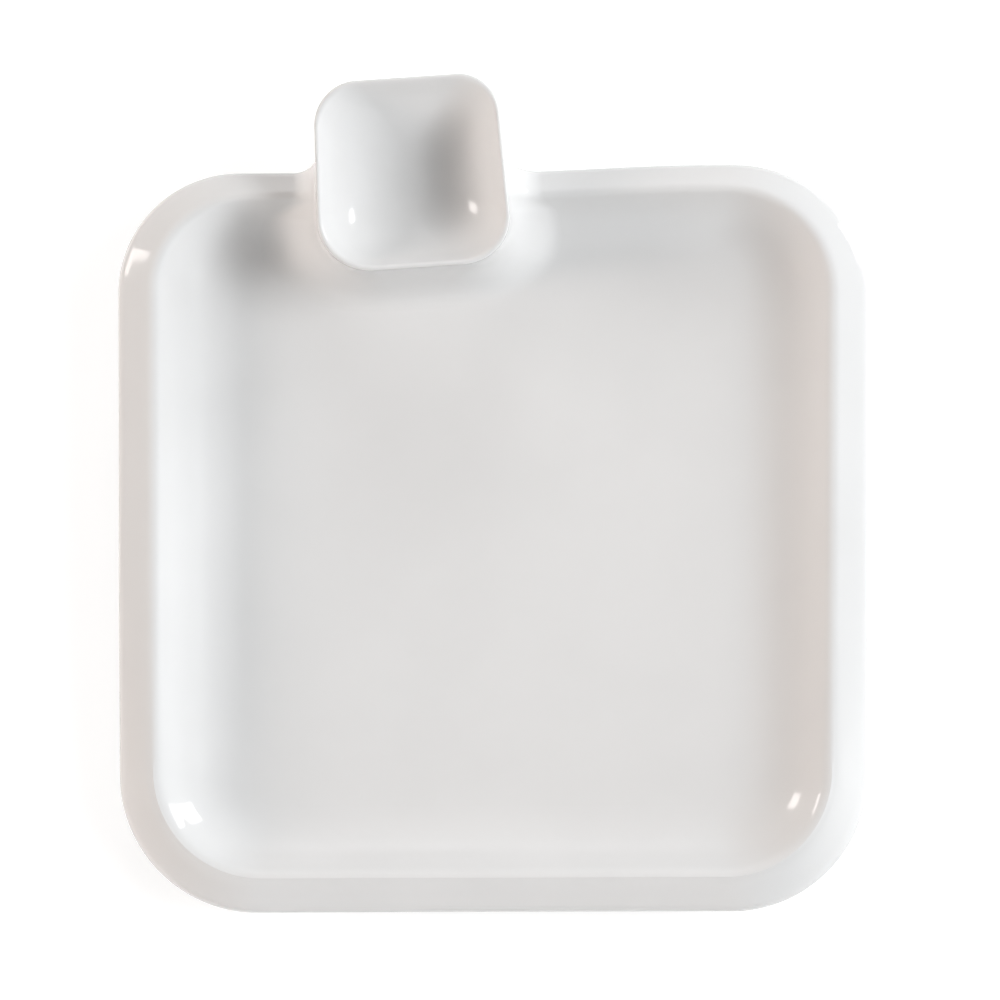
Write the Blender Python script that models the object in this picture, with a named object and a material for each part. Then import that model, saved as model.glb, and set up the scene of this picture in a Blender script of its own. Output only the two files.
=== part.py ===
"""Square serving plate with a dip cup on its back rim, in white glazed porcelain.

Metres, +Z up. The plate stands on z = 0, +X is its right and +Y its back, where the cup sits.
The origin is the middle of the whole footprint, so the plate's own centre lies a little in front of it.
"""
import math

import bmesh
import bpy
import numpy as np

# Plate in plan: outer edge, width of the rim from the edge to its ridge, and corners of edge and well
PLATE_WIDTH = 0.2160
PLATE_DEPTH = 0.2141
CORNER_RADIUS = 0.0380
RIM_WIDTH_SIDES = 0.0116
RIM_WIDTH_FRONT = 0.0094
RIM_WIDTH_BACK = 0.0086
WELL_CORNER_RADIUS = 0.0070

# Plate in section: standing ring, floor, cove, ridge and turned-down lip
FOOT_HEIGHT = 0.0040
FLOOR_THICKNESS = 0.0050
RIM_HEIGHT = 0.0224
RIDGE_RADIUS = 0.0030
INNER_SLOPE = math.radians(50)
OUTER_SLOPE = math.radians(45)
COVE_RADIUS = 0.0300
WALL_THICKNESS = 0.0050
LIP_DEPTH = 0.0046
LIP_RADIUS = 0.0020
COVE_UNDER_RADIUS = 0.0250
RIDGE_UNDER_RADIUS = 0.0025

# Standing ring under the floor
FOOT_WIDTH = 0.1360
FOOT_DEPTH = 0.1360
FOOT_CORNER_RADIUS = 0.0300
FOOT_BAND = 0.0060
FOOT_EDGE_RADIUS = 0.0012

# Dip cup: lip outline, place on the plate, and section
CUP_WIDTH = 0.0538
CUP_DEPTH = 0.0558
CUP_CORNER_RADIUS = 0.0140
CUP_TURN = math.radians(4.0)
CUP_LEFT_OF_CENTRE = 0.0234
CUP_OVERHANG = 0.0252
CUP_HEIGHT = 0.0350
CUP_BASE_HEIGHT = 0.0026
CUP_BASE_INSET = 0.0085
CUP_BASE_RADIUS = 0.0130
CUP_FLOOR_THICKNESS = 0.0084
CUP_LIP_THICKNESS = 0.0026
CUP_LIP_RADIUS = 0.0012
CUP_BOWL_INSET = 0.0086
CUP_BOWL_RADIUS = 0.0225

# Joining slip between the cup and the plate: how far it runs out from the lip's outline
FILLET_DROP = 0.0030
FILLET_REACH_LEFT = 0.0185
FILLET_REACH_FRONT = 0.0075
FILLET_REACH_RIGHT = 0.0145
FILLET_REACH_RIM = 0.0045
FILLET_EDGE = 0.0006

# Gap between touching bodies, and how round stretches are faceted
CLEARANCE = 0.0003
CORNER_STEPS = 10
ARC_STEP = math.radians(12)
FILLET_SIDE_STEPS = 22
FILLET_FACE_STEPS = 8
FILLET_SEAT_STEPS = 3
SEAM_ROUNDS = 12

PLATE_HALF = np.array([PLATE_WIDTH, PLATE_DEPTH]) / 2
CUP_HALF = np.array([CUP_WIDTH, CUP_DEPTH]) / 2
UNDERSIDE = FOOT_HEIGHT + CLEARANCE
FLOOR_TOP = UNDERSIDE + FLOOR_THICKNESS


def rounded_profile(corners):
    """Points along a polyline of (inset, height, radius) corners, each inner corner turned into an arc.

    An arc is tangent to both its lines. Where two arcs would overlap on the line between them, both shrink.
    """
    points = np.array([corner[:2] for corner in corners])
    legs = np.diff(points, axis=0)
    lengths = np.linalg.norm(legs, axis=1)
    headings = np.arctan2(legs[:, 1], legs[:, 0])
    turns = (np.diff(headings) + math.pi) % (2 * math.pi) - math.pi
    radii = np.array([corner[2] for corner in corners[1:-1]])
    tangents = np.concatenate([[0], radii * np.tan(np.abs(turns) / 2), [0]])
    crowding = np.maximum(1, (tangents[:-1] + tangents[1:]) / lengths)
    tangents[1:-1] /= np.maximum(crowding[:-1], crowding[1:])
    path = [points[0]]
    for index, turn in enumerate(turns):
        radius = tangents[index + 1] / math.tan(abs(turn) / 2)
        start = points[index + 1] - legs[index] / lengths[index] * tangents[index + 1]
        side = math.copysign(1, turn)
        centre = start + side * radius * np.array([-math.sin(headings[index]), math.cos(headings[index])])
        steps = math.ceil(abs(turn) / ARC_STEP)
        for step in range(steps + 1):
            angle = headings[index] + turn * step / steps
            path.append(centre + side * radius * np.array([math.sin(angle), -math.cos(angle)]))
    path.append(points[-1])
    return np.array(path)


def outline_frame(side_steps=1):
    """Corner signs and outward normals of a rounded rectangle's points, anticlockwise from its right side."""
    signs = []
    normals = []
    square = [np.array(corner) for corner in ((1, 1), (-1, 1), (-1, -1), (1, -1))]
    for quarter in range(4):
        corner = square[quarter]
        following = square[(quarter + 1) % 4]
        for step in range(CORNER_STEPS + 1):
            angle = (quarter + step / CORNER_STEPS) * math.pi / 2
            signs.append(corner)
            normals.append((math.cos(angle), math.sin(angle)))
        for step in range(1, side_steps):
            signs.append(corner + (following - corner) * step / side_steps)
            normals.append(normals[-1])
    return np.array(signs), np.array(normals)


def rounded_outline(half, radius, frame):
    """Plan points of a rounded rectangle of half sizes half; half and radius may differ from point to point."""
    signs, normals = frame
    radius = np.reshape(radius, (-1, 1))
    return signs * (half - radius) + normals * radius


def at_height(plan, height):
    """Plan points as a ring of space points at one height, or at a height each."""
    return np.column_stack([plan, np.broadcast_to(height, len(plan))])


def ridge_apex():
    """Inset and height where the rim's inner and outer slopes would meet without the rounded ridge."""
    lean = (INNER_SLOPE - OUTER_SLOPE) / 2
    reach = RIDGE_RADIUS / math.cos((INNER_SLOPE + OUTER_SLOPE) / 2)
    inset = RIM_WIDTH_SIDES - reach * math.sin(lean)
    height = RIM_HEIGHT - RIDGE_RADIUS + reach * math.cos(lean)
    return inset, height


def plate_profile():
    """Section of the dish across its side rim: well floor, cove, ridge, lip, and the underside back again."""
    inset, apex = ridge_apex()
    lip_top = apex - inset * math.tan(OUTER_SLOPE)
    under_apex = apex - WALL_THICKNESS / math.cos((INNER_SLOPE + OUTER_SLOPE) / 2)
    cove = inset + (apex - FLOOR_TOP) / math.tan(INNER_SLOPE)
    cove_under = inset + (under_apex - UNDERSIDE) / math.tan(INNER_SLOPE)
    cove_end = cove + COVE_RADIUS * math.tan(INNER_SLOPE / 2)
    cove_under_end = cove_under + COVE_UNDER_RADIUS * math.tan(INNER_SLOPE / 2)
    return rounded_profile([
        (cove_end, FLOOR_TOP, 0),
        (cove, FLOOR_TOP, COVE_RADIUS),
        (inset, apex, RIDGE_RADIUS),
        (0, lip_top, LIP_RADIUS),
        (0, lip_top - LIP_DEPTH, LIP_RADIUS),
        (inset, under_apex, RIDGE_UNDER_RADIUS),
        (cove_under, UNDERSIDE, COVE_UNDER_RADIUS),
        (cove_under_end, UNDERSIDE, 0),
    ])[1:-1]


def end_share(sign):
    """Width of the rim at the back or front end, as a share of its width along the sides."""
    return np.where(sign > 0, RIM_WIDTH_BACK, RIM_WIDTH_FRONT) / RIM_WIDTH_SIDES


def plate_top(plan):
    """Height of the dish's top face over plan points along its straight back, measured from the plate's centre."""
    inset = (PLATE_DEPTH / 2 - plan[..., 1]) / end_share(1)
    profile = plate_profile()
    top = profile[:profile[:, 0].argmin() + 1][::-1]
    return np.interp(inset, top[:, 0], top[:, 1])


def seat_height(plan):
    """Height over plan points that keeps the clearance from the dish's sloping top face."""
    step = CLEARANCE
    slopes = [(plate_top(plan + shift) - plate_top(plan - shift)) / (2 * step) for shift in np.eye(2) * step]
    return plate_top(plan) + CLEARANCE * np.sqrt(1 + slopes[0] ** 2 + slopes[1] ** 2)


def cup_outline(inset, frame):
    """Outline of the cup at an inset from its lip, about the cup's own centre; below zero is outside the lip."""
    inset = np.reshape(inset, (-1, 1))
    radius = CUP_CORNER_RADIUS * (1 - inset / CUP_HALF[0])
    return rounded_outline(CUP_HALF - inset, radius, frame)


def cup_wall_inset(height):
    """Inset of the cup's straight outer wall at a height."""
    return CUP_BASE_INSET * (CUP_HEIGHT - height) / (CUP_HEIGHT - CUP_BASE_HEIGHT)


def cup_outer_corners(gap):
    """Section corners of the cup's outside, from the middle of its base up the wall, grown by a gap."""
    return [
        (CUP_HALF[0], CUP_BASE_HEIGHT - gap, 0),
        (CUP_BASE_INSET - gap, CUP_BASE_HEIGHT - gap, CUP_BASE_RADIUS + gap),
    ]


def cup_profile():
    """Section of the cup from its base up the outer wall, over the lip and down into the bowl."""
    bowl = CUP_BASE_HEIGHT + CUP_FLOOR_THICKNESS
    return rounded_profile(cup_outer_corners(0) + [
        (0, CUP_HEIGHT, CUP_LIP_RADIUS),
        (CUP_LIP_THICKNESS, CUP_HEIGHT, CUP_LIP_RADIUS),
        (CUP_BOWL_INSET, bowl, CUP_BOWL_RADIUS),
        (CUP_HALF[0], bowl, 0),
    ])[1:-1]


def cup_place():
    """Plan place of the cup's centre, measured from the plate's centre."""
    outline = cup_outline(cup_profile()[:, 0].min(), outline_frame())
    back = (outline @ np.array([math.sin(CUP_TURN), math.cos(CUP_TURN)])).max()
    return np.array([-CUP_LEFT_OF_CENTRE, PLATE_DEPTH / 2 + CUP_OVERHANG - back])


def on_plate(plan):
    """Plan points about the cup's centre, turned and moved to where the cup stands on the plate."""
    turn = np.array([[math.cos(CUP_TURN), math.sin(CUP_TURN)], [-math.sin(CUP_TURN), math.cos(CUP_TURN)]])
    return plan @ turn + cup_place()


def loft(name, rings, closed=False):
    """Mesh object through rings of equal count; the end rings are capped, or joined up if closed."""
    mesh = bpy.data.meshes.new(name)
    shape = bmesh.new()
    loops = [[shape.verts.new(point) for point in ring] for ring in rings]
    pairs = list(zip(loops, loops[1:]))
    if closed:
        pairs.append((loops[-1], loops[0]))
    else:
        shape.faces.new(loops[0])
        shape.faces.new(loops[-1])
    for near, far in pairs:
        for here in range(len(near)):
            after = (here + 1) % len(near)
            shape.faces.new((near[here], near[after], far[after], far[here]))
    bmesh.ops.recalc_face_normals(shape, faces=shape.faces[:])
    shape.to_mesh(mesh)
    shape.free()
    mesh.shade_smooth()
    mesh.set_sharp_from_angle(angle=math.radians(35))
    return bpy.data.objects.new(name, mesh)


def material(name, colour, roughness):
    """Principled material of a fired clay surface."""
    finish = bpy.data.materials.new(name)
    finish.use_nodes = True
    shader = finish.node_tree.nodes["Principled BSDF"]
    shader.inputs["Base Color"].default_value = (*colour, 1)
    shader.inputs["Roughness"].default_value = roughness
    shader.inputs["Metallic"].default_value = 0
    return finish


def plate_ring(inset, well, frame):
    """Plan of the dish at an inset of its side rim; the corner radius falls evenly to the well's at its inset."""
    radius = CORNER_RADIUS + (WELL_CORNER_RADIUS - CORNER_RADIUS) * inset / well
    shrink = np.column_stack([np.full(len(frame[0]), inset), inset * end_share(frame[0][:, 1])])
    return rounded_outline(PLATE_HALF - shrink, radius, frame)


def plate_body():
    """Dish lofted from its section, each ring a smaller rounded square with its own inset at each side."""
    frame = outline_frame()
    profile = plate_profile()
    well = profile[:, 0].max()
    return loft("plate_body", [at_height(plate_ring(inset, well, frame), height) for inset, height in profile])


def foot_ring():
    """Standing ring with rounded edges on the ground, under the flat of the floor."""
    section = rounded_profile([
        (0, FOOT_HEIGHT, 0),
        (0, 0, FOOT_EDGE_RADIUS),
        (FOOT_BAND, 0, FOOT_EDGE_RADIUS),
        (FOOT_BAND, FOOT_HEIGHT, 0),
    ])
    half = np.array([FOOT_WIDTH, FOOT_DEPTH]) / 2
    frame = outline_frame()
    rings = [
        at_height(rounded_outline(half - inset, FOOT_CORNER_RADIUS - inset, frame), height)
        for inset, height in section
    ]
    return loft("foot_ring", rings, closed=True)


def sauce_cup():
    """Bowl lofted from its section about its own centre, then set on the plate a little askew."""
    frame = outline_frame()
    return loft("sauce_cup", [at_height(cup_outline(inset, frame), height) for inset, height in cup_profile()])


def cup_cutter():
    """Outside of the cup grown by the clearance and run up past its lip, to open the dish for it."""
    frame = outline_frame()
    above = CUP_HEIGHT + CUP_LIP_THICKNESS
    wall_top = (cup_wall_inset(above) - CLEARANCE, above, 0)
    section = rounded_profile(cup_outer_corners(CLEARANCE) + [wall_top])[1:]
    return loft("cup_cutter", [at_height(cup_outline(inset, frame), height) for inset, height in section])


def fillet_stations():
    """Outline frame of the points round the cup, left side to right side by the front, that stand over the dish."""
    signs, normals = outline_frame(FILLET_SIDE_STEPS)
    first = int(np.flatnonzero((signs == (-1, 1)).all(axis=1))[-1])
    order = np.roll(np.arange(len(signs)), -first)
    frame = signs[order], normals[order]
    wall = on_plate(cup_outline(0, frame))
    over = (wall[:, 1] < PLATE_DEPTH / 2 - LIP_RADIUS) & (normals[order][:, 1] < math.sin(math.radians(1)))
    return frame[0][over], frame[1][over]


def fillet_reach(frame):
    """How far the slip runs out from the lip: its full reach over the well, less up the cove and over the rim."""
    normals = frame[1]
    side = np.where(normals[:, 0] < 0, FILLET_REACH_LEFT, FILLET_REACH_RIGHT)
    reach = normals[:, 0] ** 2 * side + normals[:, 1] ** 2 * FILLET_REACH_FRONT
    wall = on_plate(cup_outline(0, frame))
    behind_ridge = wall[:, 1] > PLATE_DEPTH / 2 - RIM_WIDTH_BACK
    climb = (np.where(behind_ridge, RIM_HEIGHT, plate_top(wall)) - FLOOR_TOP) / (RIM_HEIGHT - FLOOR_TOP)
    return reach + (FILLET_REACH_RIM - reach) * climb


def fillet_root(frame):
    """Inset where the cup's wall stands clear over the dish, closed in on from the lip's outline."""
    inset = np.zeros(len(frame[0]))
    for _ in range(SEAM_ROUNDS):
        inset = cup_wall_inset(seat_height(on_plate(cup_outline(inset, frame)))) - CLEARANCE
    return inset


def slip_fillet():
    """Cove of joining slip: a hollow face from the cup's wall down to the dish, seated clear of both."""
    frame = fillet_stations()
    reach = fillet_reach(frame)
    top = CUP_HEIGHT - FILLET_DROP
    start = cup_wall_inset(top) - CLEARANCE - FILLET_EDGE
    foot = seat_height(on_plate(cup_outline(-reach, frame)))
    points = []
    for step in range(FILLET_FACE_STEPS + 1):
        angle = math.pi / 2 * step / FILLET_FACE_STEPS
        inset = start - (start + reach) * (1 - math.cos(angle))
        height = foot + FILLET_EDGE + (top - foot - FILLET_EDGE) * (1 - math.sin(angle))
        points.append(at_height(on_plate(cup_outline(inset, frame)), height))
    wall_foot = fillet_root(frame)
    for step in range(FILLET_SEAT_STEPS + 1):
        plan = on_plate(cup_outline(-reach + (wall_foot + reach) * step / FILLET_SEAT_STEPS, frame))
        points.append(at_height(plan, seat_height(plan)))
    points.append(at_height(on_plate(cup_outline(cup_wall_inset(top) - CLEARANCE, frame)), top))
    return loft("slip_fillet", np.stack(points, axis=1))


def collection(name):
    """New collection in the scene."""
    group = bpy.data.collections.new(name)
    bpy.context.scene.collection.children.link(group)
    return group


for leftover in list(bpy.data.objects):
    bpy.data.objects.remove(leftover, do_unlink=True)

parts = collection("serving_plate")
cutters = collection("cutters")
plate_centre = bpy.data.objects.new("plate_centre", None)
plate_centre.location = (0, -CUP_OVERHANG / 2, 0)
parts.objects.link(plate_centre)

glaze = material("white_glazed_porcelain", (0.84, 0.84, 0.82), 0.08)
bisque = material("bare_bisque", (0.74, 0.70, 0.63), 0.75)
cup_glaze = glaze.copy()
cup_glaze.name = "white_glazed_porcelain_cup"
slip_glaze = glaze.copy()
slip_glaze.name = "white_glazed_slip"

dish = plate_body()
cup = sauce_cup()
cutter = cup_cutter()
for piece, finish in ((dish, glaze), (cup, cup_glaze), (slip_fillet(), slip_glaze), (foot_ring(), bisque)):
    piece.data.materials.append(finish)
    piece.parent = plate_centre
    parts.objects.link(piece)
for seated in (cup, cutter):
    seated.location = (*cup_place(), 0)
    seated.rotation_euler = (0, 0, CUP_TURN)
cutter.parent = plate_centre
cutter.hide_render = True
cutter.display_type = "WIRE"
cutters.objects.link(cutter)

opening = dish.modifiers.new("opening_for_cup", "BOOLEAN")
opening.operation = "DIFFERENCE"
opening.solver = "EXACT"
opening.object = cutter
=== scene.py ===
"""Looks of a square white porcelain serving plate with a dip cup joined on over its back rim.

Metres, +Z up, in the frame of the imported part: +X is the plate's right, +Y its back, and z = 0 the table.
"""

import math

import bmesh
import bpy
import numpy as np
from mathutils import Matrix, Vector


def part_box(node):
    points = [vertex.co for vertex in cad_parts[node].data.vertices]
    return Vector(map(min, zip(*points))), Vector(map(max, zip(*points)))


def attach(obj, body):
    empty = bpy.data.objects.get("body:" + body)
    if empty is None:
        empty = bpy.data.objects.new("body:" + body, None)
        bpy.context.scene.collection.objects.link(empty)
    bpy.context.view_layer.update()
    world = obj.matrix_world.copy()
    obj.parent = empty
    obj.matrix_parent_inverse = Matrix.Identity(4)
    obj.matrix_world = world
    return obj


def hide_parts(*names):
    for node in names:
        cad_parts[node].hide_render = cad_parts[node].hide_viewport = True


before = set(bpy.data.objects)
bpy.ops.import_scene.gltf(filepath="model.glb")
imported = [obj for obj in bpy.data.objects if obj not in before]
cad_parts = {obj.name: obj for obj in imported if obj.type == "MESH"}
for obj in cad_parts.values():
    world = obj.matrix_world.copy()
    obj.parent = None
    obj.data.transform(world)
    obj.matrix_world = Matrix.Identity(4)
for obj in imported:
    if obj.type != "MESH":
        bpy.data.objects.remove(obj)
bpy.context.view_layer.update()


# Dish
# A slip-cast porcelain plate in one piece: a flat well, a deep cove up to a rounded ridge, and a rim that
# slopes down outside it to a lip. It was dipped in clear glaze, which melted every corner a little rounder.

MM = 0.001
SAME_POINT = 0.0001 * MM
CORNERS = np.array([(1, 1), (-1, 1), (-1, -1), (1, -1)])
DISH_CORNER_RADII = np.array([39.2, 35.0, 39.8, 39.0]) * MM
RIM_WIDTH_SIDES = 11.6 * MM
RIM_WIDTH_FRONT = 9.4 * MM
RIM_WIDTH_BACK = 8.6 * MM
FLOOR_THICKNESS = 5.0 * MM
RIDGE_RADIUS = 3.0 * MM
INNER_SLOPE = math.radians(50)
OUTER_SLOPE = math.radians(29)
COVE_RADIUS = 30.0 * MM
WELL_INSET = 38.2 * MM
WELL_CORNER_RADIUS = 7.0 * MM
WALL_THICKNESS = 5.0 * MM
LIP_DEPTH = 6.0 * MM
LIP_TOP_RADIUS = 3.2 * MM
LIP_UNDER_RADIUS = 2.0 * MM
BACK_COVE_SHARE = 0.6
FRONT_COVE_SHARE = 0.81
FRONT_SAG = 4.6 * MM
FRONT_SAG_POWER = 1.5
FRONT_MELT = 3.2 * MM
FRONT_ROLL_START = 2.0 * MM
FRONT_ROLL_END = 6.0 * MM
COVE_UNDER_RADIUS = 25.0 * MM
RIDGE_UNDER_RADIUS = 2.5 * MM
SECTION_STEP = 0.7 * MM
ARC_POINTS = 33
DISH_MELT = 0.8 * MM
WARP_BACK_PULL = 1.9 * MM
WARP_PULL_START = 0.0 * MM
WARP_PULL_END = 62.0 * MM
WARP_FRONT_SHRINK = 0.012
CLOUD_SIZE = 28.0 * MM
FILM_SIZE = 9.0 * MM
RIPPLE_SIZE = 7.0 * MM
RIPPLE_HEIGHT = 0.015 * MM

dish_low, dish_high = np.array(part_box("plate_body"))
dish_centre = (dish_low + dish_high)[:2] / 2
dish_half = (dish_high - dish_low)[:2] / 2
underside = dish_low[2]
floor_top = underside + FLOOR_THICKNESS


def run_along(path):
    """Length run from the start of a path to each of its points: the running sum of the steps' lengths."""
    return np.concatenate([[0], np.cumsum(np.linalg.norm(np.diff(path, axis=0), axis=1))])


def melted_section(corners, step, melt):
    """Inset and height along a polyline of (inset, height, radius) corners, rounded and then melted.

    Each inner corner becomes an arc tangent to both its lines, the path is cut into equal steps, and every
    point then becomes the mean of its neighbours under a bell curve as wide as melt. Both ends stay in place.
    """
    points = np.array([corner[:2] for corner in corners])
    legs = np.diff(points, axis=0)
    headings = np.arctan2(legs[:, 1], legs[:, 0])
    turns = (np.diff(headings) + math.pi) % (2 * math.pi) - math.pi
    radii = [corner[2] for corner in corners[1:-1]]
    path = [points[:1]]
    for place, heading, turn, radius in zip(points[1:-1], headings, turns, radii):
        ahead = np.array([math.cos(heading), math.sin(heading)])
        side = np.array([-ahead[1], ahead[0]]) * math.copysign(radius, turn)
        angles = turn * np.linspace(0, 1, ARC_POINTS)[:, None]
        centre = place - ahead * radius * math.tan(abs(turn) / 2) + side
        path.append(centre - side * np.cos(angles) + ahead * radius * np.sin(np.abs(angles)))
    path = np.concatenate(path + [points[-1:]])
    run = run_along(path)
    stops = np.linspace(0, run[-1], round(run[-1] / step) + 1)
    even = np.column_stack([np.interp(stops, run, column) for column in path.T])
    spread = math.ceil(3 * melt / step)
    bell = np.exp(-0.5 * (np.arange(-spread, spread + 1) * step / melt) ** 2)
    before = 2 * even[0] - even[spread:0:-1]
    after = 2 * even[-1] - even[-2:-spread - 2:-1]
    padded = np.concatenate([before, even, after])
    return np.column_stack([np.convolve(column, bell / bell.sum(), "valid") for column in padded.T])


def outline_frame(corner_steps, side_steps):
    """Corner signs and outward normals round a rounded rectangle, anticlockwise from its right side.

    Along a quarter circle the sign stays and the normal turns. Along a side the normal stays and the sign
    slides on to the next corner's.
    """
    signs = []
    normals = []
    for quarter, corner in enumerate(CORNERS):
        angles = (quarter + np.arange(corner_steps + 1) / corner_steps) * math.pi / 2
        slide = np.arange(1, side_steps)[:, None] / side_steps
        next_corner = CORNERS[(quarter + 1) % 4]
        round_corner = np.column_stack([np.cos(angles), np.sin(angles)])
        signs += [np.tile(corner, (corner_steps + 1, 1)), corner + (next_corner - corner) * slide]
        normals += [round_corner, np.tile(round_corner[-1], (side_steps - 1, 1))]
    return np.concatenate(signs), np.concatenate(normals)


def corner_blend(values, signs):
    """Value at each corner sign, blended from the four corners' values.

    A corner weighs (1 + sign · corner) / 2 along x times the same along y.
    """
    weights = ((1 + signs[:, None, :] * CORNERS) / 2).prod(axis=2)
    return weights @ values


def smooth(value, start, end):
    """Eased share of the way from start to end: 3t² - 2t³, held flat outside."""
    share = np.clip((value - start) / (end - start), 0, 1)
    return share * share * (3 - 2 * share)


def kiln_warp(points):
    """Points as the firing left them: the back drawn out towards its right, and the front drawn in a little.

    y grows by the pull times the eased way across times the eased way back, and x shrinks evenly from back to
    front.
    """
    x, y, z = np.moveaxis(points, -1, 0)
    across, back = dish_centre[0], dish_centre[1] + dish_half[1]
    pull = WARP_BACK_PULL * smooth(x, WARP_PULL_START, WARP_PULL_END) * smooth(y, dish_centre[1], back)
    shrink = WARP_FRONT_SHRINK * np.clip((back - y) / (2 * dish_half[1]), 0, 1)
    return np.stack([across + (x - across) * (1 - shrink), y + pull, z], axis=-1)


def dish_section(melt):
    """Section of the dish across its side rim, from the well over the ridge and lip to the underside."""
    lean = (INNER_SLOPE - OUTER_SLOPE) / 2
    mean_slope = (INNER_SLOPE + OUTER_SLOPE) / 2
    ridge_reach = RIDGE_RADIUS / math.cos(mean_slope)
    inset = RIM_WIDTH_SIDES - ridge_reach * math.sin(lean)
    apex = dish_high[2] - RIDGE_RADIUS + ridge_reach * math.cos(lean)
    lip_top = apex - inset * math.tan(OUTER_SLOPE)
    under_apex = apex - WALL_THICKNESS / math.cos(mean_slope)
    cove = inset + (apex - floor_top) / math.tan(INNER_SLOPE)
    cove_under = inset + (under_apex - underside) / math.tan(INNER_SLOPE)
    return melted_section([
        (WELL_INSET, floor_top, 0),
        (cove, floor_top, COVE_RADIUS),
        (inset, apex, RIDGE_RADIUS),
        (0, lip_top, LIP_TOP_RADIUS),
        (0, lip_top - LIP_DEPTH, LIP_UNDER_RADIUS),
        (inset, under_apex, RIDGE_UNDER_RADIUS),
        (cove_under, underside, COVE_UNDER_RADIUS),
        (WELL_INSET, underside, 0),
    ], SECTION_STEP, melt)


def front_rim(section):
    """Section at the front, where the ridge is rolled softer and the rim sags towards its edge.

    The inner side of the ridge eases into a section that is melted more, and the outer side sinks by the sag
    times a power of the share of the way from the ridge out to the edge.
    """
    order = np.arange(len(section))
    rolled = smooth(section[:, 0], FRONT_ROLL_START, FRONT_ROLL_END) * (order < section[:, 0].argmin())
    outwards = np.clip(1 - section[:, 0] / RIM_WIDTH_SIDES, 0, 1) * (order > section[:, 1].argmax())
    soft = section + (dish_section(FRONT_MELT) - section) * rolled[:, None]
    return soft - np.column_stack([np.zeros(len(section)), FRONT_SAG * outwards ** FRONT_SAG_POWER])


def end_inset(inset, sign):
    """Inset at the back or front end, where the rim and the cove are narrower than along the sides."""
    rim = np.where(sign > 0, RIM_WIDTH_BACK, RIM_WIDTH_FRONT) / RIM_WIDTH_SIDES
    cove = np.where(sign > 0, BACK_COVE_SHARE, FRONT_COVE_SHARE)
    return np.minimum(inset, RIM_WIDTH_SIDES) * rim + np.maximum(inset - RIM_WIDTH_SIDES, 0) * cove


def dish_surface(signs, normals, section):
    """Grid of the dish: per section point a rounded square, sign · (half - inset - r) + normal · r.

    From the middle of the sides the section passes into the one at the front by the square of the way there.
    The inset is narrowed at the back and front, and the corner radius r falls evenly from the edge's to the
    well's.
    """
    frontness = np.clip(-signs[:, 1], 0, 1) ** 2
    around = section[:, None] + (front_rim(section) - section)[:, None] * frontness[:, None]
    inset, height = np.moveaxis(around, -1, 0)
    edge_radius = corner_blend(DISH_CORNER_RADII, signs)
    radius = (edge_radius + (WELL_CORNER_RADIUS - edge_radius) * inset / WELL_INSET)[..., None]
    insets = np.stack([inset, end_inset(inset, signs[:, 1])], axis=-1)
    plan = dish_centre + signs * (dish_half - insets - radius) + normals * radius
    return kiln_warp(np.concatenate([plan, height[..., None]], axis=-1))


def to_centre(ring, shares):
    """Rings that fill a flat ring: the ring drawn in towards its middle by each share of its size."""
    middle = ring.mean(axis=0)
    return middle + (ring - middle) * shares[:, None, None]


def ring_piece(name, rings, closed=False):
    """Object through rings of points that run from the top's middle outwards and back underneath.

    The end rings are capped, or joined to each other where the piece is closed. Points that coincide are
    merged.
    """
    index = np.arange(rings.shape[0] * rings.shape[1]).reshape(rings.shape[:2])
    caps = [] if closed else [index[0].tolist(), index[-1][::-1].tolist()]
    if closed:
        index = np.concatenate([index, index[:1]])
    near, far = index[:-1], index[1:]
    quads = np.stack([near, far, np.roll(far, -1, axis=1), np.roll(near, -1, axis=1)], axis=-1)
    mesh = bpy.data.meshes.new(name)
    mesh.from_pydata(rings.reshape(-1, 3).tolist(), [], quads.reshape(-1, 4).tolist() + caps)
    shape = bmesh.new()
    shape.from_mesh(mesh)
    bmesh.ops.remove_doubles(shape, verts=shape.verts, dist=SAME_POINT)
    shape.to_mesh(mesh)
    shape.free()
    mesh.shade_smooth()
    piece = bpy.data.objects.new(name, mesh)
    bpy.context.scene.collection.objects.link(piece)
    return piece


def linear(hex_colour):
    """Linear RGBA of an sRGB hex colour such as EDEDEB."""
    srgb = np.array([int(hex_colour[start:start + 2], 16) for start in (0, 2, 4)]) / 255
    return (*np.where(srgb <= 0.04045, srgb / 12.92, ((srgb + 0.055) / 1.055) ** 2.4), 1)


def add_node(tree, kind, settings, inputs):
    """A shader node with its settings, each input linked from another node's socket or set to a value."""
    node = tree.nodes.new(kind)
    for name, value in settings.items():
        setattr(node, name, value)
    for name, value in inputs.items():
        if isinstance(value, bpy.types.NodeSocket):
            tree.links.new(value, node.inputs[name])
        else:
            node.inputs[name].default_value = value
    return node


def two_tone(tree, share, start, low, end, high):
    """Socket of a colour that goes from low to high while the share goes from start to end."""
    ramp = add_node(tree, "ShaderNodeValToRGB", {}, {"Fac": share})
    for stop, place, colour in zip(ramp.color_ramp.elements, (start, end), (low, high)):
        stop.position = place
        stop.color = linear(colour)
    return ramp.outputs["Color"]


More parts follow.
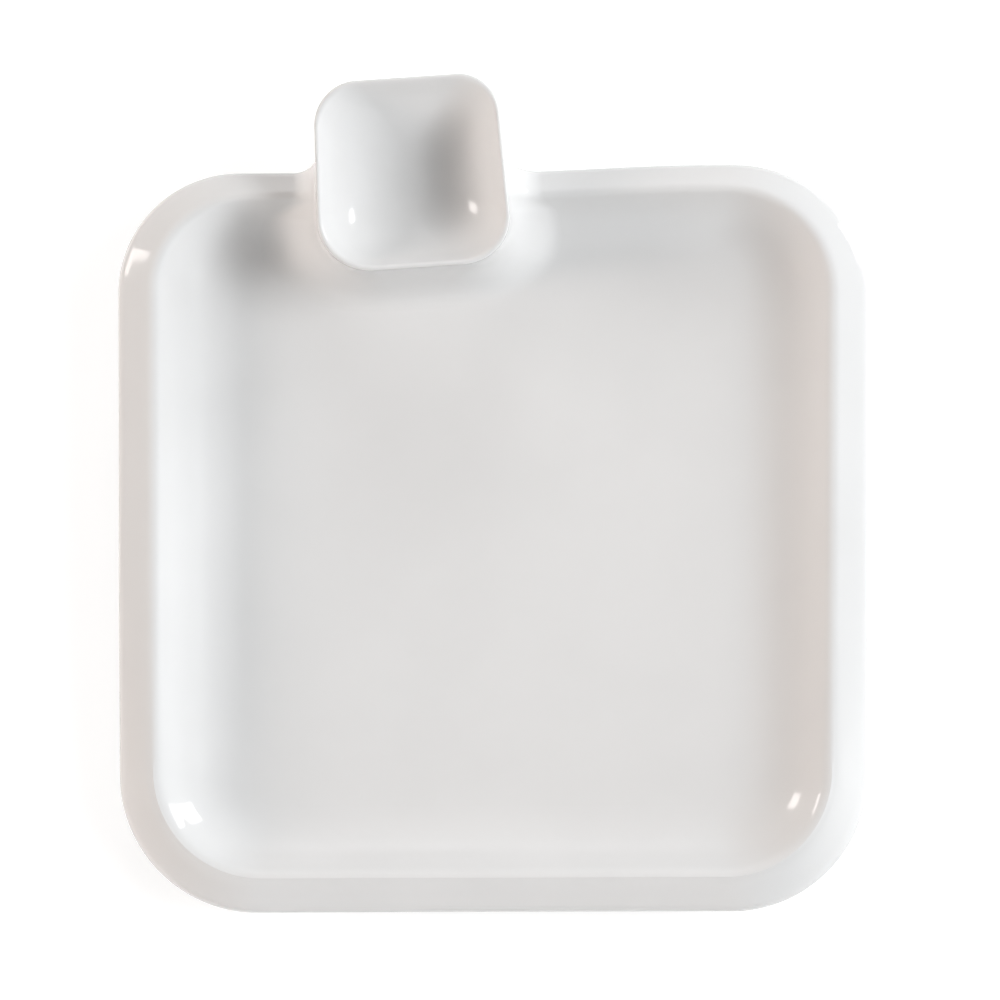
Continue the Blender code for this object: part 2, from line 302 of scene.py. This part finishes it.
def glazed_porcelain():
    """White porcelain under a clear, poured glaze.

    To the eye it is an even, neutral white with sharp, bright reflections, which a faint ripple and a
    slightly uneven gloss keep from looking like plastic.
    """
    material = bpy.data.materials.new("clear_glazed_porcelain")
    material.use_nodes = True
    tree = material.node_tree
    shader = tree.nodes["Principled BSDF"]
    place = add_node(tree, "ShaderNodeTexCoord", {}, {}).outputs["Object"]
    cloud = add_node(tree, "ShaderNodeTexNoise", {}, {
        "Vector": place, "Scale": 1 / CLOUD_SIZE, "Detail": 2.0})
    tint = two_tone(tree, cloud.outputs["Fac"], 0.35, "DBDBDB", 0.65, "DDDDDD")
    tree.links.new(tint, shader.inputs["Base Color"])
    film = add_node(tree, "ShaderNodeTexNoise", {}, {
        "Vector": place, "Scale": 1 / FILM_SIZE, "Detail": 3.0})
    gloss = add_node(tree, "ShaderNodeMapRange", {}, {
        "Value": film.outputs["Fac"], "From Min": 0.3, "From Max": 0.7, "To Min": 0.05, "To Max": 0.10})
    tree.links.new(gloss.outputs["Result"], shader.inputs["Roughness"])
    ripple = add_node(tree, "ShaderNodeTexNoise", {}, {
        "Vector": place, "Scale": 1 / RIPPLE_SIZE, "Detail": 1.0})
    peel = add_node(tree, "ShaderNodeBump", {}, {
        "Height": ripple.outputs["Fac"], "Strength": 1.0, "Distance": RIPPLE_HEIGHT})
    tree.links.new(peel.outputs["Normal"], shader.inputs["Normal"])
    shader.inputs["IOR"].default_value = 1.5
    return material


porcelain = glazed_porcelain()
section = dish_section(DISH_MELT)
dish_signs, dish_normals = outline_frame(corner_steps=36, side_steps=48)
dish_rings = dish_surface(dish_signs, dish_normals, section)
well_shares = np.linspace(0.1, 1, 10)[:-1]
dish = ring_piece("dish", np.concatenate([
    to_centre(dish_rings[0], well_shares), dish_rings, to_centre(dish_rings[-1], well_shares[::-1])]))
dish.data.materials.append(porcelain)
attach(dish, "root")
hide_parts("plate_body")


# Dip cup
# A small square bowl, cast apart and luted on with slip while the clay was soft, so it stands a little askew.
# It hangs out over the back rim, which was cut away for it, and its thin lip stands above everything.

CUP_WIDTH = 54.6 * MM
CUP_DEPTH = 55.9 * MM
CUP_CORNER_RADII = np.array([11.5, 12.5, 15.5, 14.0]) * MM
CUP_TAPER = 0.035
CUP_TURN = math.radians(3.8)
CUP_BASE_INSET = 8.5 * MM
CUP_BASE_RADIUS = 13.0 * MM
CUP_FLOOR_THICKNESS = 15.8 * MM
CUP_LIP_THICKNESS = 1.2 * MM
CUP_LIP_INNER_RADIUS = 0.9 * MM
CUP_LIP_OUTER_RADIUS = 0.45 * MM
CUP_BOWL_INSET = 11.0 * MM
CUP_BOWL_RADIUS = 24.0 * MM
CUP_HEART_INSET = 26.2 * MM
CUP_MELT = 0.35 * MM
CUP_STEP = 0.4 * MM
CUP_FORWARD = 0.4 * MM
CUT_DEPTH = 1.2 * MM
CUT_ABOVE_BASE = 0.5 * MM
CUT_TOP = 50.0 * MM
CUT_SHARP_ANGLE = math.radians(35)

cup_low, cup_high = np.array(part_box("sauce_cup"))
cup_centre = (cup_low + cup_high)[:2] / 2 - [0, CUP_FORWARD]
cup_half = np.array([CUP_WIDTH, CUP_DEPTH]) / 2


def cup_section():
    """Section of the cup from its bowl's floor up over the lip and down the outer wall to its base."""
    bowl = cup_low[2] + CUP_FLOOR_THICKNESS
    return melted_section([
        (CUP_HEART_INSET, bowl, 0),
        (CUP_BOWL_INSET, bowl, CUP_BOWL_RADIUS),
        (CUP_LIP_THICKNESS, cup_high[2], CUP_LIP_INNER_RADIUS),
        (0, cup_high[2], CUP_LIP_OUTER_RADIUS),
        (CUP_BASE_INSET, cup_low[2], CUP_BASE_RADIUS),
        (CUP_HEART_INSET, cup_low[2], 0),
    ], CUP_STEP, CUP_MELT)


def cup_radius(inset, signs):
    """Corner radius of the cup's outline: its share of the half width grows evenly inwards to a circle's."""
    share = corner_blend(CUP_CORNER_RADII, signs) / cup_half[0]
    return (cup_half[0] - inset) * (share + (1 - share) * inset / CUP_HEART_INSET)


def cup_plan(inset, signs, normals):
    """Outline of the cup on the plate at an inset from its lip: a rounded square, turned on the plate.

    Its corners get rounder inwards, and its width grows evenly from back to front by the taper.
    """
    radius = cup_radius(np.asarray(inset), signs)[..., None]
    inset = np.asarray(inset)[..., None]
    flat = signs * (cup_half - inset - radius) + normals * radius
    flat = flat * np.stack([1 - CUP_TAPER * flat[..., 1] / cup_half[1], np.ones(flat.shape[:-1])], axis=-1)
    turn = np.array([[math.cos(CUP_TURN), math.sin(CUP_TURN)], [-math.sin(CUP_TURN), math.cos(CUP_TURN)]])
    return cup_centre + flat @ turn


def cup_surface(section, signs, normals):
    """Grid of the cup: for each point of the section the outline at that inset, at the section's height."""
    plan = cup_plan(np.broadcast_to(section[:, :1], (len(section), len(signs))), signs, normals)
    height = np.broadcast_to(section[:, 1, None, None], (*plan.shape[:2], 1))
    return kiln_warp(np.concatenate([plan, height], axis=2))


bowl_section = cup_section()
cup_signs, cup_normals = outline_frame(corner_steps=28, side_steps=20)
cup_rings = cup_surface(bowl_section, cup_signs, cup_normals)
cup_shares = np.array([0.3, 0.65])
cup = ring_piece("dip_cup", np.concatenate([
    to_centre(cup_rings[0], cup_shares), cup_rings, to_centre(cup_rings[-1], cup_shares[::-1])]))
cup.data.materials.append(porcelain)
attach(cup, "root")
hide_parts("sauce_cup")

lip_line = bowl_section[:, 0].argmin()
wall_section = bowl_section[lip_line:][::-1]
cut_wall = wall_section[wall_section[:, 1] > cup_low[2] + CUT_ABOVE_BASE] + [CUT_DEPTH, 0]
cut_section = np.concatenate([cut_wall, [[cut_wall[-1, 0], CUT_TOP]]])
notch = ring_piece("notch", cup_surface(cut_section[::-1], cup_signs, cup_normals))
opening = dish.modifiers.new("opening_for_cup", "BOOLEAN")
opening.operation = "DIFFERENCE"
opening.solver = "EXACT"
opening.object = notch
cut_dish = bpy.data.meshes.new_from_object(dish.evaluated_get(bpy.context.evaluated_depsgraph_get()))
dish.modifiers.clear()
dish.data = cut_dish
dish.data.set_sharp_from_angle(angle=CUT_SHARP_ANGLE)
bpy.data.objects.remove(notch, do_unlink=True)


# Joining slip
# Liquid clay trailed round the cup and smoothed with a finger, which left a hollow sweep from the lip down to
# the well, wide on the left and narrow at the front, and small webs where the cup passes through the rim.

SLIP_REACH_LEFT = 20.5 * MM
SLIP_REACH_FRONT = 7.5 * MM
SLIP_REACH_RIGHT = 18.0 * MM
WEB_REACH_LEFT = 7.0 * MM
WEB_REACH_RIGHT = 10.0 * MM
WEB_ARM_LEFT = 3.5 * MM
WEB_ARM_RIGHT = 8.0 * MM
WEB_STEPS = 12
SLIP_STEP = 0.5 * MM
SLIP_POINTS = 28
SLIP_BULGE = 0.42
SLIP_BACKING = 0.6 * MM
WEB_END_SINK = 0.4 * MM
TANGENT_STEP = 0.05 * MM
SEAM_ROUNDS = 24
SAME_ANGLE = 1e-6
SLIP_SHARP_ANGLE = math.radians(50)

back_section = np.column_stack([dish_high[1] - end_inset(section[:, 0], 1), section[:, 1]])
back_section = np.concatenate([[(dish_centre[1], floor_top)], back_section])
back_run = run_along(back_section)
ridge_at = int(back_section[:, 1].argmax())
edge_at = int(back_section[:, 0].argmax())


def wall_inset(height):
    """Inset of the cup's outer wall at a height, up to the line where its lip stands out furthest."""
    return np.interp(height, wall_section[:, 1], wall_section[:, 0])


def wall_point(signs, normals, height):
    """Point of the cup's outer wall at a place of its outline and a height."""
    return np.column_stack([cup_plan(wall_inset(height), signs, normals), height])


def dish_back_point(x, run):
    """Point of the dish's back, which is one section run straight along X, at a length along that section."""
    return np.column_stack([x] + [np.interp(run, back_run, column) for column in back_section.T])


def side_stations(side, run, turn):
    """Places on the cup's left or right wall where it meets the dish's back section at lengths along it.

    Behind the dish's edge they go on by the web's arm times one less the cosine of the turn. The way along
    the wall is slide · (span - slide · growth), where growth is how much the corner radius grows towards the
    back, and this quadratic is solved for the slide.
    """
    y, height = (np.interp(run, back_run, column) for column in back_section.T)
    y = y + (1 - np.cos(turn)) * (WEB_ARM_RIGHT if side > 0 else WEB_ARM_LEFT)
    inset = wall_inset(height)
    across = side * (cup_half[0] - inset)
    lean = math.sin(CUP_TURN) * across
    along = (y - cup_centre[1] - lean) / (math.cos(CUP_TURN) - lean * CUP_TAPER / cup_half[1])
    middle, back = (cup_radius(inset, np.tile((side, place), (len(run), 1))) for place in (0, 1))
    span = cup_half[1] - inset - middle
    slide = 2 * along / (span + np.sqrt(np.maximum(span ** 2 - 4 * (back - middle) * along, 0)))
    signs = np.column_stack([np.full(len(run), side), slide])
    return signs, np.tile((side, 0.0), (len(run), 1)), height, run, turn


def web_stations(side):
    """Stations from the cup's front corner over the ridge to the dish's edge, then round the web's end."""
    runs = back_run[:edge_at]
    start = np.interp(-1, side_stations(side, runs, np.zeros(edge_at))[0][:, 1], runs)
    even = np.linspace(start, back_run[edge_at], round((back_run[edge_at] - start) / SLIP_STEP))
    turn = np.append(np.zeros(len(even)), np.linspace(0, math.pi / 2, WEB_STEPS + 1)[1:])
    return side_stations(side, np.append(even, np.full(WEB_STEPS, even[-1])), turn)


def front_stations(corner_steps, side_steps):
    """Stations along the cup's front corners and front wall, each at the height where it meets the dish.

    The height sets where the wall stands, and that place the dish's height, so the two are found in turn.
    """
    signs, normals = outline_frame(corner_steps, side_steps)
    angle = np.arctan2(normals[:, 1], normals[:, 0])
    front = (angle < -SAME_ANGLE) & (angle > SAME_ANGLE - math.pi)
    signs, normals = signs[front], normals[front]
    height = np.full(len(signs), floor_top)
    for _ in range(SEAM_ROUNDS):
        y = cup_plan(wall_inset(height), signs, normals)[:, 1]
        height = np.interp(y, back_section[:ridge_at, 0], back_section[:ridge_at, 1])
    run = np.interp(y, back_section[:ridge_at, 0], back_run[:ridge_at])
    return signs, normals, height, run, np.zeros(len(signs))


def slip_surface():
    """Grid of the slip: a cubic curve across it at each station, tangent to the cup's wall and to the dish.

    Round the web's end its reach shrinks by one less the sine of the turn, to a hollow corner, and the curve
    sinks into the cup's wall by one less the cosine. The section is closed by points sunk into the dish,
    behind the seam and into the cup's wall.
    """
    left = [values[::-1] for values in web_stations(-1)]
    front = front_stations(corner_steps=24, side_steps=40)
    right = web_stations(1)
    signs, normals, height, run, turn = (np.concatenate(parts) for parts in zip(left, front, right))
    seam = wall_point(signs, normals, height)
    lip_height = wall_section[-1, 1]
    top = wall_point(signs, normals, np.full(len(seam), lip_height))
    down = wall_point(signs, normals, np.full(len(seam), lip_height - TANGENT_STEP)) - top
    down /= np.linalg.norm(down, axis=1)[:, None]
    leftness = normals[:, 0] < 0
    reach_web = np.where(leftness, WEB_REACH_LEFT, WEB_REACH_RIGHT)
    reach_side = np.where(leftness, SLIP_REACH_LEFT, SLIP_REACH_RIGHT)
    reach = normals[:, 0] ** 2 * reach_side + normals[:, 1] ** 2 * SLIP_REACH_FRONT
    climb = np.where(run > back_run[ridge_at], 1, smooth(height, floor_top, dish_high[2]))
    reach = (reach + (reach_web - reach) * climb + wall_inset(height)) * (1 - np.sin(turn))
    foot_x = seam[:, 0] + normals[:, 0] * reach
    foot_y = seam[:, 1] + normals[:, 1] * reach
    front_run = np.interp(foot_y, back_section[:ridge_at, 0], back_run[:ridge_at])
    foot_run = np.where(normals[:, 1] == 0, run, front_run)
    out = dish_back_point(foot_x + TANGENT_STEP * normals[:, 0], foot_run + TANGENT_STEP * normals[:, 1])
    out -= dish_back_point(foot_x, foot_run)
    out /= np.linalg.norm(out, axis=1)[:, None]
    turning = (turn > 0)[:, None]
    foot = np.where(turning, np.column_stack([foot_x, foot_y, height]), dish_back_point(foot_x, foot_run))
    top_pull = top + down * (np.linalg.norm(top - seam, axis=1) * SLIP_BULGE)[:, None]
    foot_pull = foot - out * (np.linalg.norm(foot - seam, axis=1) * SLIP_BULGE)[:, None]
    t = np.linspace(0, 1, SLIP_POINTS)[:, None, None]
    face = (1 - t) ** 3 * top + 3 * (1 - t) ** 2 * t * top_pull
    face = face + 3 * (1 - t) * t ** 2 * foot_pull + t ** 3 * foot
    inward = np.column_stack([cup_centre - seam[:, :2], np.zeros(len(seam))])
    inward /= np.linalg.norm(inward, axis=1)[:, None]
    face += inward * (WEB_END_SINK * (1 - np.cos(turn)))[:, None]
    sink = np.cross(np.gradient(foot, axis=0), out)
    sink = np.where(turning, inward, sink / np.linalg.norm(sink, axis=1)[:, None])
    behind = [foot + sink * SLIP_BACKING, seam + (sink + inward) * SLIP_BACKING, top + inward * SLIP_BACKING]
    return kiln_warp(np.concatenate([face, np.stack(behind)]))


slip = ring_piece("joining_slip", np.swapaxes(slip_surface(), 0, 1))
slip.data.materials.append(porcelain)
slip.data.set_sharp_from_angle(angle=SLIP_SHARP_ANGLE)
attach(slip, "root")
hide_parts("slip_fillet")


# Standing ring
# The raised band under the well that the plate stands on. Its glaze was wiped off so that it wouldn't stick
# to the kiln shelf, so it shows the bare, slightly gritty fired clay.

FOOT_CORNER_RADIUS = 30.0 * MM
FOOT_BAND = 6.0 * MM
FOOT_EDGE_RADIUS = 1.2 * MM
FOOT_MELT = 0.25 * MM
FOOT_STEP = 0.3 * MM
GRIT_SIZE = 0.8 * MM
GRIT_HEIGHT = 0.05 * MM

foot_low, foot_high = np.array(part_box("foot_ring"))
foot_centre = (foot_low + foot_high)[:2] / 2
foot_half = (foot_high - foot_low)[:2] / 2


def foot_surface(signs, normals):
    """Grid of the standing ring: a rounded band section carried round a rounded square."""
    band = melted_section([
        (FOOT_BAND, underside, 0),
        (FOOT_BAND, 0, FOOT_EDGE_RADIUS),
        (0, 0, FOOT_EDGE_RADIUS),
        (0, underside, 0),
    ], FOOT_STEP, FOOT_MELT)
    edge = signs * (foot_half - FOOT_CORNER_RADIUS) + normals * FOOT_CORNER_RADIUS
    plan = foot_centre + edge - normals * band[:, 0, None, None]
    return np.concatenate([plan, np.broadcast_to(band[:, 1, None, None], (*plan.shape[:2], 1))], axis=2)


def bare_bisque():
    """Unglazed fired porcelain. To the eye it is matt, cream white and finely gritty, like biscuit."""
    material = bpy.data.materials.new("bare_bisque")
    material.use_nodes = True
    tree = material.node_tree
    shader = tree.nodes["Principled BSDF"]
    place = add_node(tree, "ShaderNodeTexCoord", {}, {}).outputs["Object"]
    grit = add_node(tree, "ShaderNodeTexNoise", {}, {"Vector": place, "Scale": 1 / GRIT_SIZE, "Detail": 3.0})
    tint = two_tone(tree, grit.outputs["Fac"], 0.3, "CFC8BA", 0.7, "E6E0D4")
    tree.links.new(tint, shader.inputs["Base Color"])
    rough = add_node(tree, "ShaderNodeBump", {}, {
        "Height": grit.outputs["Fac"], "Strength": 0.6, "Distance": GRIT_HEIGHT})
    tree.links.new(rough.outputs["Normal"], shader.inputs["Normal"])
    shader.inputs["Roughness"].default_value = 0.8
    return material


foot_signs, foot_normals = outline_frame(corner_steps=24, side_steps=20)
foot = ring_piece("standing_ring", foot_surface(foot_signs, foot_normals)[::-1], closed=True)
foot.data.materials.append(bare_bisque())
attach(foot, "root")
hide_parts("foot_ring")


# Studio
# A white table in a white room. Soft light falls in from the right and, a little warmer, from the left, with
# some more from the back and front. Two soft boxes low behind the plate put the bright spots on the glaze.

TABLE_SIZE = 6.0
TABLE_GLOW = 0.74
TABLE_SEEN = 0.45
ROOM_LIGHT = 0.195
ROOM_COLOUR = "FFF9F5"
SOURCE_SPREAD = math.radians(8.5)
# Each source has an azimuth and an elevation in degrees, a strength and a colour.
SOFT_SOURCES = [
    (-6, 33, 20.6, "F9FCFE"),
    (-28, 33, 6.0, "F9FCFE"),
    (12, 39, 13.8, "F9FCFE"),
    (184, 18, 25.8, "FFF1E8"),
    (92, 18, 13.0, "FBFDFE"),
    (272, 14, 9.0, "FBFDFE"),
]
LAMP_DISTANCE = 1.2
LAMP_RADIANCE = 8.0
CAMERA_DISTANCE = 6.0
CAMERA_LEAN_FRONT = math.radians(10.0)
CAMERA_LEAN_RIGHT = math.radians(1.5)
CAMERA_ROLL = math.radians(-0.2)
CAMERA_AIM = Vector((1.8 * MM, dish_centre[1] + 12.3 * MM, 11.0 * MM))
FRAME_PIXELS = 1000
MM_PER_PIXEL = 0.2865
SENSOR = 36.0


def seen_directly(tree):
    """Socket that is 1 for rays that the eye follows (from the camera, a gloss or through glass), else 0."""
    path = add_node(tree, "ShaderNodeLightPath", {}, {})
    gloss = add_node(tree, "ShaderNodeMath", {"operation": "MAXIMUM"}, {
        0: path.outputs["Is Camera Ray"], 1: path.outputs["Is Glossy Ray"]})
    every = add_node(tree, "ShaderNodeMath", {"operation": "MAXIMUM"}, {
        0: gloss.outputs[0], 1: path.outputs["Is Transmission Ray"]})
    return every.outputs[0]


def white_table():
    """Matt white table top; to the eye it also glows, so that it reads white and its shadow stays faint."""
    material = bpy.data.materials.new("matt_white_table")
    material.use_nodes = True
    tree = material.node_tree
    tree.nodes.clear()
    plain = add_node(tree, "ShaderNodeBsdfDiffuse", {}, {"Color": linear("E8E8E8")})
    dim = add_node(tree, "ShaderNodeBsdfDiffuse", {}, {"Color": (TABLE_SEEN, TABLE_SEEN, TABLE_SEEN, 1)})
    glow = add_node(tree, "ShaderNodeEmission", {}, {"Strength": TABLE_GLOW})
    lit = add_node(tree, "ShaderNodeAddShader", {}, {0: dim.outputs[0], 1: glow.outputs[0]})
    both = add_node(tree, "ShaderNodeMixShader", {}, {
        0: seen_directly(tree), 1: plain.outputs[0], 2: lit.outputs[0]})
    add_node(tree, "ShaderNodeOutputMaterial", {}, {"Surface": both.outputs[0]})
    return material


table_mesh = bpy.data.meshes.new("table")
table_corners = [(x * TABLE_SIZE / 2, y * TABLE_SIZE / 2, 0) for x, y in CORNERS.tolist()]
table_mesh.from_pydata(table_corners, [], [(0, 1, 2, 3)])
table = bpy.data.objects.new("table", table_mesh)
table.data.materials.append(white_table())
bpy.context.scene.collection.objects.link(table)


def direction(azimuth, elevation):
    """Unit vector at an azimuth from +X towards +Y and an elevation, both in degrees."""
    turn, rise = math.radians(azimuth), math.radians(elevation)
    return Vector((math.cos(turn) * math.cos(rise), math.sin(turn) * math.cos(rise), math.sin(rise)))


def soft_box(name, azimuth, elevation, width, height, colour):
    """Rectangular lamp in a direction from the plate, turned to face it and bright by its radiance."""
    lamp = bpy.data.lights.new(name, "AREA")
    lamp.shape = "RECTANGLE"
    lamp.size = width
    lamp.size_y = height
    lamp.energy = LAMP_RADIANCE * math.pi * width * height
    lamp.color = linear(colour)[:3]
    away = direction(azimuth, elevation)
    light = bpy.data.objects.new(name, lamp)
    light.location = away * LAMP_DISTANCE
    light.rotation_euler = away.to_track_quat("Z", "Y").to_euler()
    bpy.context.scene.collection.objects.link(light)


soft_box("right_lamp", azimuth=35, elevation=10.5, width=0.32, height=0.40, colour="FFFFFF")
soft_box("left_lamp", azimuth=154, elevation=18.5, width=0.24, height=0.24, colour="FFF8F4")


def soft_source(tree, azimuth, elevation, strength, colour):
    """Light of one soft source in the room, which falls off round its middle like a bell curve.

    It is the colour times strength · e^((cosine - 1) / (1 - cosine of the spread)), and the cosine is that of
    the angle between the ray and the source's middle.
    """
    middle = direction(azimuth, elevation)
    ray = add_node(tree, "ShaderNodeTexCoord", {}, {}).outputs["Generated"]
    cosine = add_node(tree, "ShaderNodeVectorMath", {"operation": "DOT_PRODUCT"}, {0: ray, 1: middle})
    off = add_node(tree, "ShaderNodeMath", {"operation": "SUBTRACT"}, {0: cosine.outputs["Value"], 1: 1.0})
    fall = add_node(tree, "ShaderNodeMath", {"operation": "DIVIDE"}, {
        0: off.outputs[0], 1: 1 - math.cos(SOURCE_SPREAD)})
    share = add_node(tree, "ShaderNodeMath", {"operation": "EXPONENT"}, {0: fall.outputs[0]})
    return add_node(tree, "ShaderNodeVectorMath", {"operation": "SCALE"}, {
        0: tuple(np.array(linear(colour)[:3]) * strength), "Scale": share.outputs[0]}).outputs["Vector"]


world = bpy.data.worlds.new("white_room")
world.use_nodes = True
room = world.node_tree
room.nodes.clear()
room_light = tuple(np.array(linear(ROOM_COLOUR)[:3]) * ROOM_LIGHT)
for source in SOFT_SOURCES:
    room_light = add_node(room, "ShaderNodeVectorMath", {"operation": "ADD"}, {
        0: room_light, 1: soft_source(room, *source)}).outputs["Vector"]
soft = add_node(room, "ShaderNodeBackground", {}, {"Color": room_light, "Strength": 1.0})
white = add_node(room, "ShaderNodeBackground", {}, {"Color": (1, 1, 1, 1), "Strength": 1.0})
shown = add_node(room, "ShaderNodeMixShader", {}, {
    0: seen_directly(room), 1: soft.outputs[0], 2: white.outputs[0]})
add_node(room, "ShaderNodeOutputWorld", {}, {"Surface": shown.outputs[0]})
bpy.context.scene.world = world
bpy.context.scene.view_settings.view_transform = "Standard"

lens = bpy.data.cameras.new("camera")
lens.sensor_width = SENSOR
lens.lens = SENSOR * CAMERA_DISTANCE / (FRAME_PIXELS * MM_PER_PIXEL * MM)
camera = bpy.data.objects.new("camera", lens)
back = Vector((math.sin(CAMERA_LEAN_RIGHT), -math.sin(CAMERA_LEAN_FRONT), 1))
back.z = math.sqrt(1 - back.x ** 2 - back.y ** 2)
right = Vector((1, 0, 0)) - back * back.x
right.normalize()
pose = Matrix((right, back.cross(right), back)).transposed().to_4x4() @ Matrix.Rotation(CAMERA_ROLL, 4, "Z")
camera.matrix_world = Matrix.Translation(CAMERA_AIM + back * CAMERA_DISTANCE) @ pose
bpy.context.scene.collection.objects.link(camera)
bpy.context.scene.camera = camera
